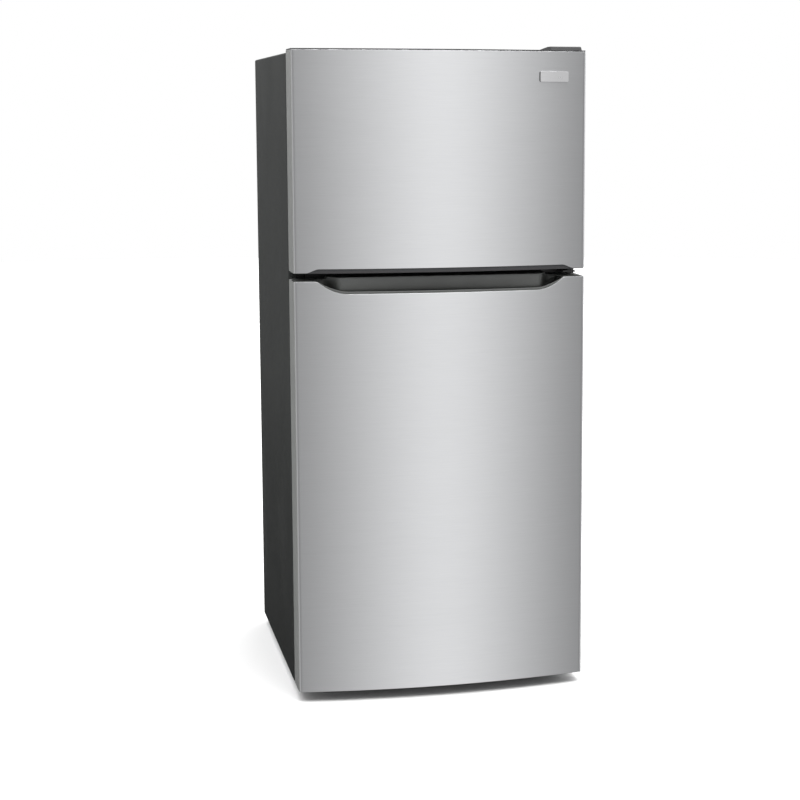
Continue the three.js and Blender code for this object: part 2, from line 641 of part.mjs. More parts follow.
const FREEZER_CAP = { rim: 4, deep: 16, foot: 34 };
function freezerDoor() {
  const { bottom, top } = FREEZER_DOOR;
  const rimZ = top - FREEZER_CAP.rim;
  const rim = doorBlock(0, DOOR.rear, rimZ + GAP, top);
  const plug = doorBlock(SKIN + GAP, CAP_REAR, rimZ - FREEZER_CAP.deep, rimZ + 1);
  const topCap = rim.add(plug).subtract(pinHole(rimZ - FREEZER_CAP.deep - 1, top + 1));
  const foot = doorBlock(SKIN + GAP, CAP_REAR, bottom, bottom + FREEZER_CAP.foot);
  const grip = pocket(POCKET.half + 40, bottom - 1, bottom + 22);
  const bottomCap = cut(foot, [grip, pinHole(bottom - 1, bottom + 24)]);
  const foamZ = [bottom + FREEZER_CAP.foot + GAP, rimZ - FREEZER_CAP.deep - GAP];
  const badge = prism("z", badgePlan(254, 331), 1596, 1622);
  return [
    doorSkin("freezer_door_skin", bottom + 1.2, rimZ, [raise()]),
    part("freezer_door_top_cap", topCap, darkPlastic),
    part("freezer_door_bottom_cap", bottomCap, darkPlastic),
    doorFoam("freezer_door_foam", ...foamZ),
    doorLiner("freezer_door_liner", [bottom + 1.5, rimZ], [FREEZER.bottom + 10, FREEZER.top - 10]),
    gasket("freezer_door_gasket", [FREEZER.bottom - 17, FREEZER.top + 22]),
    part("badge_plate", badge, badgeMetal),
    bin("freezer_bin_upper", -200, 80, 1400),
    bin("freezer_bin_lower", -200, 90, 1190),
  ];
}

// A thin plate that follows the bow of the door between two distances from its middle.
function badgePlan(from, to) {
  const chord = HALF - DOOR.corner;
  const bowRadius = (chord * chord + DOOR.bow * DOOR.bow) / (2 * DOOR.bow);
  const centreY = DOOR.side + bowRadius - DOOR.bow;
  const edge = (radius, x) => [x, centreY - Math.sqrt(radius * radius - x * x)];
  const steps = 4;
  const xs = Array.from({ length: steps + 1 }, (_, i) => from + ((to - from) * i) / steps);
  const outer = xs.map((x) => edge(bowRadius + 0.4 + 2.4, x));
  const inner = xs.map((x) => edge(bowRadius + 0.4, x)).reverse();
  return [...outer, ...inner];
}

const FRIDGE_CAP = { deep: 52, foot: 20, crown: 6.5 };
const DAIRY = { z: 850, high: 85, front: -203, pivotY: -286 };
function fridgeDoor() {
  const { bottom, top } = FRIDGE_DOOR;
  const skinTop = top - 1.5;
  const capBottom = top - FRIDGE_CAP.deep;
  const lip = skinTop - SCOOP.depth + SCOOP.lip;
  const trough = pocket(POCKET.half, lip - POCKET.depth, top + 1);
  const crown = block([-290, 290], [POCKET.back, CAP_REAR], [top - 1, top + FRIDGE_CAP.crown]);
  const inner = doorBlock(SKIN + GAP, CAP_REAR, capBottom, top).add(crown);
  const topCap = cut(inner, [scoop(SCOOP.lip, AHEAD, POCKET.back), trough, pinHole(top - 24, top + 1)]);
  const foot = doorBlock(SKIN + GAP, CAP_REAR, bottom + 1, bottom + 1 + FRIDGE_CAP.foot);
  const bottomCap = foot.subtract(pinHole(bottom, bottom + 20));
  const foamZ = [bottom + 1 + FRIDGE_CAP.foot + GAP, capBottom - GAP];
  return [
    doorSkin("fridge_door_skin", bottom, skinTop, [scoop(0, AHEAD, HINGE.y)]),
    part("fridge_door_top_cap", topCap, darkPlastic),
    part("fridge_door_bottom_cap", bottomCap, darkPlastic),
    doorFoam("fridge_door_foam", ...foamZ),
    doorLiner("fridge_door_liner", [bottom + 1, skinTop], [FRIDGE.bottom + 15, FRIDGE.top - 15]),
    gasket("fridge_door_gasket", [FRIDGE.bottom - 19, FRIDGE.top + 17]),
    bin("fridge_bin_lower", -190, 110, 190),
    bin("fridge_bin_middle", -190, 100, 520),
    bin("dairy_bin", DAIRY.front, DAIRY.high, DAIRY.z),
    dairyLid(),
  ];
}

// The butter compartment's lid: a top and a front flap in one moulding that tips up about its back edge.
function dairyLid() {
  const reach = DAIRY.front - DAIRY.pivotY + 6;
  const top = block([-BIN.half + 4, BIN.half - 4], [-4, reach], [GAP, 3]);
  const flap = block([-BIN.half + 4, BIN.half - 4], [reach - 3, reach], [-60, 3]);
  return part("dairy_lid", top.add(flap), clearPlastic, [0, DAIRY.pivotY, DAIRY.z + DAIRY.high]);
}

// ---------------------------------------------------------------- the whole object
const refrigerator = new THREE.Group();
refrigerator.name = "top_freezer_refrigerator";

const freezerLedges = ledges(FREEZER.half, WIRE_SHELF, 390);
const fridgeLedges = [SHELVES.upper, SHELVES.lower, SHELVES.crisper].flatMap((z) => ledges(FRIDGE.half, z));
const cabinet = assembly([0, 0, 0], [
  sidePanel("left_side_panel", -1),
  sidePanel("right_side_panel", 1),
  topPanel(),
  backPanel(),
  baseFrame(),
  cabinetFoam(),
  liner("freezer_liner", freezerSpace, FREEZER.bottom - 11, FREEZER.top + 18.7, freezerLedges),
  liner("fridge_liner", fridgeSpace, FRIDGE.bottom - 11, FRIDGE.top + 11, fridgeLedges),
  mullionRail(),
  ...topHinge(),
  centreHinge(),
  bottomHinge(),
  toeGrille(),
  machineCover(),
  ...evaporator(),
  compressor(),
  ...condenser(),
  ...controls(),
  wireShelf(),
  shelf("upper_shelf", SHELVES.upper, true),
  shelf("lower_shelf", SHELVES.lower, true),
  crisperCover(),
  crisper(-1),
  crisper(1),
  roller("rear_roller_left", -1),
  roller("rear_roller_right", 1),
  levellingLeg("levelling_leg_left", -1),
  levellingLeg("levelling_leg_right", 1),
]);

refrigerator.add(cabinet, assembly([0, 0, 0], freezerDoor()), assembly([0, 0, 0], fridgeDoor()));

export default refrigerator;
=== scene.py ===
import json
import math

import bmesh
import bpy
from mathutils import Matrix, Vector


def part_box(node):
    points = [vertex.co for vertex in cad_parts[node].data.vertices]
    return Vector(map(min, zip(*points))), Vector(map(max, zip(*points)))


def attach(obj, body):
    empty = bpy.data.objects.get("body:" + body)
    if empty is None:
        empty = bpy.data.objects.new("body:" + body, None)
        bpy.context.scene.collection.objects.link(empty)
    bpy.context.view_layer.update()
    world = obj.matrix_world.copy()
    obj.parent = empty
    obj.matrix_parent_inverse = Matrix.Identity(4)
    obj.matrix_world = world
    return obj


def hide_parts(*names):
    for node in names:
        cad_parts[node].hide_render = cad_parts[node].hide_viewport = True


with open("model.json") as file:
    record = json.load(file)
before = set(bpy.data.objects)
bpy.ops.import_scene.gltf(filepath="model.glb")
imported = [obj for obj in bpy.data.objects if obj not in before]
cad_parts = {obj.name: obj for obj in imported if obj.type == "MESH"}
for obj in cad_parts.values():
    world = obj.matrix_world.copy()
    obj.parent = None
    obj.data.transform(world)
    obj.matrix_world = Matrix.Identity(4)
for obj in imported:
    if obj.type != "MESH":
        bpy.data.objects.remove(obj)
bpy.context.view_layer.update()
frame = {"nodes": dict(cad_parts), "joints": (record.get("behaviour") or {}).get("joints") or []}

MM = 0.001
scene = bpy.context.scene


def node_box(node):
    """A CAD node's extent in millimetres: ((x0, x1), (y0, y1), (z0, z1))."""
    return [tuple(round(v / MM, 2) for v in pair) for pair in zip(*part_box(node))]


# ---------------------------------------------------------------- sizes the looks share, in millimetres
(_, HALF), (DOOR_FRONT, DOOR_REAR), FRIDGE_SKIN = node_box("fridge_door_skin")
FREEZER_BASE, FREEZER_TOP = node_box("freezer_door_skin")[2]
FREEZER_SKIN = (FREEZER_BASE, FREEZER_TOP + 0.8)  # the sheet stops just below the top rim
_, (CABINET_FRONT, CABINET_REAR), (CABINET_BOTTOM, _) = node_box("left_side_panel")
CABINET_TOP = node_box("top_panel")[2][1]
BOW, CORNER = 30.5, 7.0
SCOOP_FLAT, SCOOP_EDGE, SCOOP_DEPTH = 245.0, 322.0, 32.0
RAISE_FLAT, RAISE_EDGE, RAISE_HEIGHT = 318.0, 352.0, 10.0
door_hinge = next(joint for joint in frame["joints"] if joint["name"] == "freezer_door_hinge")
HINGE_X, HINGE_Y = [round(v / MM, 2) for v in door_hinge["pos_m"][:2]]
CHORD = HALF - CORNER
BOW_RADIUS = (CHORD**2 + BOW**2) / (2 * BOW)
BOW_CENTRE = DOOR_FRONT + BOW_RADIUS
MIX_A, MIX_B, MIX_RESULT = 6, 7, 2  # the colour sockets of a Mix node


# ---------------------------------------------------------------- materials
class Surface:
    """A node material built round one Principled shader."""

    def __init__(self, name, color, roughness, metallic=0.0, **sockets):
        self.material = bpy.data.materials.new(name)
        self.material.use_nodes = True
        self.nodes = self.material.node_tree.nodes
        self.links = self.material.node_tree.links
        self.shader = self.nodes["Principled BSDF"]
        self.color = (*color, 1.0)
        self.set("Base Color", self.color)
        self.set("Roughness", roughness)
        self.set("Metallic", metallic)
        for socket, value in sockets.items():
            self.set(socket.replace("_", " "), value)

    def set(self, socket, value):
        self.shader.inputs[socket].default_value = value

    def add(self, kind, **values):
        node = self.nodes.new("ShaderNode" + kind)
        for key, value in values.items():
            if hasattr(node, key):
                setattr(node, key, value)
            else:
                node.inputs[key.replace("_", " ")].default_value = value
        return node

    def link(self, source, target):
        self.links.new(source, target)

    def noise(self, stretch, scale, detail=4.0, roughness=0.5):
        """Noise in object space, stretched by scaling each axis."""
        where = self.add("TexCoord")
        mapping = self.add("Mapping")
        mapping.inputs["Scale"].default_value = stretch
        texture = self.add("TexNoise", Scale=scale, Detail=detail, Roughness=roughness)
        self.link(where.outputs["Object"], mapping.inputs["Vector"])
        self.link(mapping.outputs["Vector"], texture.inputs["Vector"])
        return texture.outputs["Fac"]

    def spread(self, source, low, high, start=0.3, stop=0.7):
        """Stretch the range start to stop of a value over low to high."""
        node = self.add("MapRange")
        values = {"From Min": start, "From Max": stop, "To Min": low, "To Max": high}
        for socket, value in values.items():
            node.inputs[socket].default_value = value
        self.link(source, node.inputs["Value"])
        return node.outputs["Result"]

    def tint(self, source, change, start=0.3, stop=0.7):
        """Vary the base colour by a share of itself."""
        mix = self.add("Mix", data_type="RGBA")
        dark = tuple(c * (1 - change) for c in self.color[:3])
        light = tuple(min(1, c * (1 + change)) for c in self.color[:3])
        mix.inputs[MIX_A].default_value = (*dark, 1)
        mix.inputs[MIX_B].default_value = (*light, 1)
        self.link(self.spread(source, 0, 1, start, stop), mix.inputs[0])
        self.link(mix.outputs[MIX_RESULT], self.shader.inputs["Base Color"])

    def vary_roughness(self, source, low, high):
        self.link(self.spread(source, low, high), self.shader.inputs["Roughness"])

    def bump(self, source, distance, strength=1.0):
        node = self.add("Bump")
        node.inputs["Strength"].default_value = strength
        node.inputs["Distance"].default_value = distance
        self.link(source, node.inputs["Height"])
        previous = self.shader.inputs["Normal"]
        if previous.is_linked:
            self.link(previous.links[0].from_socket, node.inputs["Normal"])
        self.link(node.outputs["Normal"], previous)


def brushed_steel():
    """Stainless sheet with a fine horizontal grain that spreads highlights up and down."""
    s = Surface("stainless", (0.60, 0.605, 0.615), 0.30, 1.0, Anisotropic=0.65, Anisotropic_Rotation=0.25)
    tangent = s.add("Tangent", direction_type="RADIAL", axis="Z")
    s.link(tangent.outputs["Tangent"], s.shader.inputs["Tangent"])
    fine = s.noise((1.0, 1.0, 90.0), 14.0, 5.0, 0.7)
    long_streaks = s.noise((0.6, 0.6, 120.0), 6.0, 3.0)
    s.tint(fine, 0.035)
    s.vary_roughness(long_streaks, 0.28, 0.33)
    s.bump(fine, 0.00001, 0.5)
    return s.material


def door_edge():
    """A darker matte grey on the sides of the door skins, reaching part way round their rounded corners."""
    s = Surface("door_edge_grey", (0.19, 0.195, 0.19), 0.45)
    grain = s.noise((1, 1, 1), 700.0)
    s.bump(grain, 0.00003)
    s.tint(s.noise((1, 1, 1), 12.0), 0.04)
    return s.material


def textured_paint():
    """Charcoal paint with the orange peel texture of pre-coated cabinet steel."""
    s = Surface("charcoal_paint", (0.031, 0.033, 0.032), 0.62)
    s.set("Specular IOR Level", 0.18)
    peel = s.noise((1, 1, 1), 420.0, 3.0)
    s.bump(peel, 0.00018, 0.8)
    s.tint(s.noise((1, 1, 1), 160.0, 5.0), 0.16)
    s.vary_roughness(s.noise((1, 1, 1), 3.0), 0.56, 0.68)
    return s.material


def moulded_plastic(name, color, roughness, grain=900.0, depth=0.00004, change=0.05):
    """Plastic with a fine moulded grain, faint clouding and uneven gloss."""
    s = Surface(name, color, roughness)
    s.bump(s.noise((1, 1, 1), grain, 3.0), depth, 0.7)
    s.tint(s.noise((1, 1, 1), 14.0), change)
    s.vary_roughness(s.noise((1, 1, 1), 40.0), roughness - 0.04, roughness + 0.05)
    return s.material


def glossy_white():
    """Vacuum-formed liner sheet: almost even, with the faintest waviness."""
    s = Surface("liner_white_plastic", (0.68, 0.695, 0.70), 0.34)
    s.set("Specular IOR Level", 0.4)
    s.tint(s.noise((1, 1, 1), 5.0), 0.012)
    s.vary_roughness(s.noise((1, 1, 1), 4.0, 2.0), 0.31, 0.37)
    s.bump(s.noise((1, 1, 1), 2200.0, 2.0), 0.000004, 0.3)
    return s.material


def clear_plastic(name, color, alpha):
    """See-through sheet with slight waves."""
    s = Surface(name, color, 0.08, Alpha=alpha, IOR=1.49)
    s.bump(s.noise((1, 1, 1), 6.0), 0.0004, 0.3)
    s.tint(s.noise((1, 1, 1), 8.0), 0.02)
    s.vary_roughness(s.noise((1, 1, 1), 30.0), 0.05, 0.14)
    return s.material


def metal(name, color, roughness, stretch=(1, 1, 1), grain=300.0, change=0.08):
    """Bare or plated metal with fine wear, stretched along an axis where it is drawn or brushed."""
    s = Surface(name, color, roughness, 1.0)
    wear = s.noise(stretch, grain, 5.0)
    s.tint(wear, change)
    s.bump(wear, 0.00003, 0.5)
    s.vary_roughness(s.noise((1, 1, 1), 25.0), roughness - 0.06, roughness + 0.08)
    return s.material


def foam_material():
    """Yellowish polyurethane foam with small cells."""
    s = Surface("foam", (0.78, 0.66, 0.38), 0.9)
    cells = s.add("TexVoronoi", Scale=900.0)
    s.link(s.add("TexCoord").outputs["Object"], cells.inputs["Vector"])
    s.bump(cells.outputs["Distance"], 0.0006)
    s.tint(s.noise((1, 1, 1), 20.0), 0.1)
    return s.material


STEEL = brushed_steel()
EDGE_GREY = door_edge()
PAINT = textured_paint()
CAP_GREY = moulded_plastic("handle_grey_plastic", (0.100, 0.104, 0.100), 0.42, 1400.0, 0.00003)
LIP_GREY = moulded_plastic("handle_lip_plastic", (0.066, 0.069, 0.066), 0.42, 1400.0, 0.00003)
CAP_DARK = moulded_plastic("cap_dark_plastic", (0.026, 0.026, 0.028), 0.5, 1400.0, 0.00003)
BLACK = moulded_plastic("black_plastic", (0.018, 0.018, 0.019), 0.5)
WHITE = glossy_white()
TRIM_WHITE = moulded_plastic("trim_white_plastic", (0.74, 0.755, 0.765), 0.35, 1100.0, 0.00003, 0.02)
LABEL_GREY = moulded_plastic("label_grey", (0.42, 0.43, 0.43), 0.5, 1100.0, 0.00002, 0.02)
CLEAR = clear_plastic("clear_plastic", (0.82, 0.90, 0.94), 0.34)
GLASS = clear_plastic("shelf_glass", (0.72, 0.88, 0.84), 0.30)
RUBBER = moulded_plastic("gasket_grey_rubber", (0.23, 0.235, 0.24), 0.6, 500.0, 0.00006)
ZINC = metal("zinc_plated_steel", (0.52, 0.53, 0.54), 0.4)
BLACK_STEEL = moulded_plastic("black_painted_steel", (0.014, 0.014, 0.015), 0.35, 500.0, 0.0001)
ALUMINIUM = metal("aluminium", (0.75, 0.76, 0.77), 0.3, (1, 1, 60), 20.0)
BADGE = metal("badge_satin_metal", (0.80, 0.80, 0.81), 0.30, (1, 1, 80), 10.0, 0.03)
FOAM = foam_material()
LENS_PLASTIC = moulded_plastic("lamp_lens_frosted", (0.86, 0.87, 0.84), 0.45, 700.0, 0.0002, 0.03)


# ---------------------------------------------------------------- mesh helpers, in millimetres
SMOOTH = math.radians(30)


def clean_mesh(name, verts, faces):
    """A mesh in metres from points in millimetres, with close points merged and its faces pointing out."""
    mesh = bpy.data.meshes.new(name)
    mesh.from_pydata([Vector(v) * MM for v in verts], [], faces)
    mesh.validate()
    work = bmesh.new()
    work.from_mesh(mesh)
    bmesh.ops.remove_doubles(work, verts=work.verts, dist=1e-6)
    bmesh.ops.recalc_face_normals(work, faces=work.faces)
    work.to_mesh(mesh)
    work.free()
    return mesh


def new_piece(name, verts, faces, *materials, body="cabinet", stands_for=(), slot=None, smooth=SMOOTH):
    """A mesh object that rides on a body. Edges sharper than smooth stay sharp."""
    piece = bpy.data.objects.new(name, clean_mesh(name, verts, faces))
    return settle(piece, materials, body, stands_for, smooth)


def settle(piece, materials, body, stands_for, smooth=SMOOTH):
    """Link a piece, give it its materials, and say what it rides on and stands for."""
    if piece.name not in scene.collection.objects:
        scene.collection.objects.link(piece)
    piece.data.materials.clear()
    for made in materials:
        piece.data.materials.append(made)
    piece.data.shade_smooth()
    piece.data.set_sharp_from_angle(angle=smooth)
    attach(piece, body)
    if stands_for:
        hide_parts(*stands_for)
    return piece


def loft(rings, closed=True, caps=True):
    """(verts, faces) of a skin over rings that hold the same number of points."""
    count = len(rings[0])
    verts = [point for ring in rings for point in ring]
    faces = []
    for r in range(len(rings) - 1):
        for i in range(count if closed else count - 1):
            j = (i + 1) % count
            a, b = r * count, (r + 1) * count
            faces.append((a + i, a + j, b + j, b + i))
    if caps:
        faces.append(tuple(range(count)))
        faces.append(tuple((len(rings) - 1) * count + i for i in range(count)))
    return verts, faces


def prism(axis, outline, low, high):
    """(verts, faces) of an outline drawn across an axis and given depth along it."""
    place = {
        "x": lambda u, v, w: (w, u, v),
        "y": lambda u, v, w: (u, w, v),
        "z": lambda u, v, w: (u, v, w),
    }[axis]
    return loft([[place(u, v, w) for u, v in outline] for w in (low, high)])


def join_meshes(*parts):
    """One (verts, faces) from several."""
    verts, faces = [], []
    for part_verts, part_faces in parts:
        start = len(verts)
        verts += part_verts
        faces += [tuple(i + start for i in face) for face in part_faces]
    return verts, faces


def block(x, y, z):
    """(verts, faces) of a box."""
    return prism("z", [(x[0], y[0]), (x[1], y[0]), (x[1], y[1]), (x[0], y[1])], *z)


def rounded_rectangle(x, z, radius, steps=6):
    """Points of a rectangle with round corners, anticlockwise."""
    points = []
    corners = [(x[1], z[1], 0), (x[0], z[1], 90), (x[0], z[0], 180), (x[1], z[0], 270)]
    for cx, cz, turn in corners:
        inner_x = cx - math.copysign(radius, cx - sum(x) / 2)
        inner_z = cz - math.copysign(radius, cz - sum(z) / 2)
        for i in range(steps + 1):
            a = math.radians(turn + 90 * i / steps)
            points.append((inner_x + radius * math.cos(a), inner_z + radius * math.sin(a)))
    return points


def inner_rectangle(x, z, inset, radius, steps=6):
    """A rounded rectangle drawn in from the sides of x and z."""
    return rounded_rectangle((x[0] + inset, x[1] - inset), (z[0] + inset, z[1] - inset), radius, steps)


def raw_object(name, verts, faces):
    """An object to cut or be cut with, not yet riding on a body."""
    piece = bpy.data.objects.new(name, clean_mesh(name, verts, faces))
    scene.collection.objects.link(piece)
    return piece


def carve(name, body, cutters, joins=()):
    """The mesh of body with cutters taken away and joins added."""
    target = raw_object(name, *body)
    tools = []
    for operation, shapes in (("DIFFERENCE", cutters), ("UNION", joins)):
        for shape in shapes:
            tool = raw_object(name + "_tool", *shape)
            modifier = target.modifiers.new("cut", "BOOLEAN")
            modifier.operation = operation
            modifier.object = tool
            modifier.solver = "EXACT"
            tools.append(tool)
    apply_modifiers(target)
    for tool in tools:
        bpy.data.objects.remove(tool)
    return target


def apply_modifiers(piece):
    """Replace a piece's mesh by what its modifiers make of it."""
    depsgraph = bpy.context.evaluated_depsgraph_get()
    made = bpy.data.meshes.new_from_object(piece.evaluated_get(depsgraph))
    piece.modifiers.clear()
    piece.data = made


def soften(piece, width, segments=2, angle=30):
    """Round a piece's edges with a bevel and keep its flat faces flat."""
    modifier = piece.modifiers.new("edges", "BEVEL")
    modifier.width = width * MM
    modifier.segments = segments
    modifier.limit_method = "ANGLE"
    modifier.angle_limit = math.radians(angle)
    weighted = piece.modifiers.new("normals", "WEIGHTED_NORMAL")
    weighted.keep_sharp = True
    return piece


def join_pieces(name, pieces):
    """One object from several raw ones."""
    whole = bmesh.new()
    for piece in pieces:
        whole.from_mesh(piece.data)
        bpy.data.objects.remove(piece)
    mesh = bpy.data.meshes.new(name)
    whole.to_mesh(mesh)
    whole.free()
    return bpy.data.objects.new(name, mesh)


# ---------------------------------------------------------------- doors
def door_plan(inset, rear, steps=120, corner_steps=8):
    """The door seen from above: flat sides, rounded corners and a bowed front, from the right rear round."""
    side, radius = HALF - inset, BOW_RADIUS - inset
    fillet = max(CORNER - inset, 1.0)
    cx = side - fillet
    cy = BOW_CENTRE - math.sqrt((radius - fillet) ** 2 - cx**2)
    turn = math.atan2(cx, BOW_CENTRE - cy)
    right = [(side, rear), (side, rear - 1.0), (side, cy + 0.5)]
    for i in range(corner_steps + 1):
        a = -(math.pi / 2 - turn) * i / corner_steps
        right.append((cx + fillet * math.cos(a), cy + fillet * math.sin(a)))
    front = []
    for i in range(1, steps):
        a = turn - 2 * turn * i / steps
        front.append((radius * math.sin(a), BOW_CENTRE - radius * math.cos(a)))
    return right + front + [(-x, y) for x, y in reversed(right)]


def scoop_floor(x):
    """Height of the fridge skin's top edge, which dips for the hand."""
    along = min(max((abs(x) - SCOOP_FLAT) / (SCOOP_EDGE - SCOOP_FLAT), 0), 1)
    return FRIDGE_SKIN[1] - SCOOP_DEPTH * (1 - along**2)


def raised_edge(x):
    """Height of the freezer skin's lower edge, which rises a little over the handle."""
    along = min(max((RAISE_EDGE - abs(x)) / (RAISE_EDGE - RAISE_FLAT), 0), 1)
    return FREEZER_SKIN[0] + RAISE_HEIGHT * (3 * along**2 - 2 * along**3)


def door_skin(name, low, high, body, node):
    """Bowed sheet whose top and bottom edges roll in. low and high give the edges' heights along X."""
    hem = 0.6
    roll = [(hem * (1 - math.cos(a)), hem * math.sin(a)) for a in (math.pi / 2 * i / 3 for i in range(4))]
    base = door_plan(0.0, DOOR_REAR, 200)
    rows = [(low, hem - rise, inset) for inset, rise in reversed(roll)]
    rows += [(low, hem + 0.4, 0.0), (low, hem + 1.5, 0.0), (low, 8.0, 0.0), (low, 30.0, 0.0)]
    rows += [(high, -30.0, 0.0), (high, -8.0, 0.0), (high, -hem - 1.5, 0.0), (high, -hem - 0.4, 0.0)]
    rows += [(high, rise - hem, inset) for inset, rise in roll]
    rings = []
    for edge, lift, inset in rows:
        plan = door_plan(inset, DOOR_REAR, 200)
        rings.append([(x, y, edge(bx) + lift) for (x, y), (bx, _) in zip(plan, base)])
    verts, faces = loft(rings, closed=False, caps=False)
    piece = new_piece(name, verts, faces, STEEL, EDGE_GREY, body=body, stands_for=(node,), slot="stainless")
    thick = piece.modifiers.new("sheet", "SOLIDIFY")
    thick.thickness = 1.0 * MM
    thick.offset = -1
    # Faces turned mostly sideways, on the sides and part way round the corners, take the darker grey.
    for face in piece.data.polygons:
        if abs(face.normal.x) > 0.8:
            face.material_index = 1
    return piece


door_skin("freezer_door_steel", raised_edge, lambda x: FREEZER_SKIN[1], "freezer_door", "freezer_door_skin")
door_skin("fridge_door_steel", lambda x: FRIDGE_SKIN[0], scoop_floor, "fridge_door", "fridge_door_skin")


def pocket_handle():
    """The fridge door's top cap: a lip along the scoop, a hollow for the fingers and a low crown."""
    inset, lip, thick, wall_y, rear = 1.5, 6.5, 4.5, -366.0, -289.8
    top, base, crown_top, crown_half = 1097.5, 1046.0, 1104.0, 290
    end_start, end_length, side_points = 262, 34, 11
    columns = []
    for x, y in door_plan(inset, rear, 160)[side_points:-side_points]:
        edge = scoop_floor(x)
        deep = (FRIDGE_SKIN[1] - edge) / SCOOP_DEPTH
        along = min(max((abs(x) - end_start) / end_length, 0), 1)
        near_end = along * along * (3 - 2 * along) if deep > 0.01 else 0
        open_up = min(1.0, deep * 4)
        lip_top = min(edge + 1.0 + (lip - 1.0) * min(1.0, deep * 1.3), top)
        back = max(wall_y + 46 * near_end, y + 14)
        hollow = lip_top - 1.5 - 16.0 * open_up
        crown = crown_top if abs(x) < crown_half else top
        section = [
            (y + 0.8, base),
            (y + 0.8, edge - 3),
            (y, edge - 0.6),
            (y, lip_top - 1.2),
            (y + 0.4, lip_top - 0.4),
            (y + 1.2, lip_top),
            (y + thick - 1, lip_top),
            (y + thick - 0.3, lip_top - 0.3),
            (y + thick, lip_top - 1.0),
            (y + thick + 0.2, hollow + 3 * open_up),
        ]
        crease = min(lip_top - 1.0, crown - 3.0)
        section += [(y + thick + 1.5, hollow), (back + 5.0, hollow), (back + 7.0, hollow + 1.0),
                    (back + 7.0, crease - 2.2), (back + 1.2, crease - 1.2), (back + 0.3, crease - 0.4)]
        for i in range(8):
            share = i / 7
            section.append((back + 2.5 * share**2, crease + 0.3 + (crown - 1.6 - crease) * share))
        section += [(back + 3.0, crown - 0.4), (back + 4.2, crown), (rear, crown), (rear, base)]
        columns.append([(x, v, w) for v, w in section])
    verts, faces = loft(columns)
    piece = new_piece("fridge_door_handle_cap", verts, faces, CAP_GREY, LIP_GREY, body="fridge_door",
                      stands_for=("fridge_door_top_cap",), slot="dark_plastic", smooth=math.radians(40))
    for face in piece.data.polygons:
        x, y = face.center.x / MM, face.center.y / MM
        bowed_front = BOW_CENTRE - math.sqrt((BOW_RADIUS - inset) ** 2 - min(x * x, 360.0**2))
        if y < bowed_front + thick + 0.5:
            face.material_index = 1
    return piece


pocket_handle()


def plain_cap(name, node, body, rows, cutters=(), bevel=0.8):
    """A cap that closes a door's end: rows of (inset, rear, low, high) stacked into one solid."""
    first, *others = [prism("z", door_plan(inset, rear), low, high) for inset, rear, low, high in rows]
    piece = carve(name, first, cutters, others)
    settle(piece, (CAP_DARK,), body, (node,))
    return soften(piece, bevel)


def circle(x, y, radius, steps):
    """Points of a circle, anticlockwise."""
    turns = [math.tau * i / steps for i in range(steps)]
    return [(x + radius * math.cos(a), y + radius * math.sin(a)) for a in turns]


PIN_HOLE = circle(HINGE_X, HINGE_Y, 5.6, 32)
plain_cap("freezer_door_top_rim", "freezer_door_top_cap", "freezer_door",
          [(0.7, DOOR_REAR - 0.5, 1673.1, 1676), (2.3, -289.8, 1656, 1674)],
          [prism("z", PIN_HOLE, 1600, 1700)], bevel=1.4)
recess_plan = [(x, y) for x, y in door_plan(8.0, -364) if abs(x) < 290]
recess_plan += [(-290, -364), (290, -364)]
plain_cap("freezer_door_foot", "freezer_door_bottom_cap", "freezer_door",
          [(2.3, -289.8, 1116.5, 1150)],
          [prism("z", PIN_HOLE, 1100, 1141), prism("z", recess_plan, 1100, 1138)], bevel=2.0)
plain_cap("fridge_door_foot", "fridge_door_bottom_cap", "fridge_door",
          [(2.3, -289.8, 28, 48)], [prism("z", PIN_HOLE, 20, 47)])


def badge():
    """A blank rounded plate, and a black sheet behind it that shows only at its left edge as a painted
    shadow, both wrapped on the bow.
    """
    (x0, x1), _, (z0, z1) = node_box("badge_plate")

    def on_door(points, height):
        return [(x, BOW_CENTRE - math.sqrt((BOW_RADIUS + height) ** 2 - x * x), z) for x, z in points]

    plate = []
    for inset, height in ((0, 1.2), (0, 2.6), (0.15, 2.8)):
        plate.append(on_door(inner_rectangle((x0, x1), (z0, z1), inset, 3.2, 5), height))
    new_piece("badge_blank", *loft(plate), BADGE, body="freezer_door", stands_for=("badge_plate",),
              slot="badge_metal", smooth=math.radians(12))
    # Painted shadow: a black sheet that sticks out past the plate only on the left, standing in for the
    # shade along the plate's left edge.
    outline = rounded_rectangle((x0 - 1.8, x1 - 1), (z0 + 0.2, z1 - 0.6), 3.0, 5)
    painted_shadow_rings = [on_door(outline, height) for height in (0.1, 1.2)]
    new_piece("badge_painted_shadow", *loft(painted_shadow_rings), BLACK, body="freezer_door", smooth=math.radians(12))


badge()


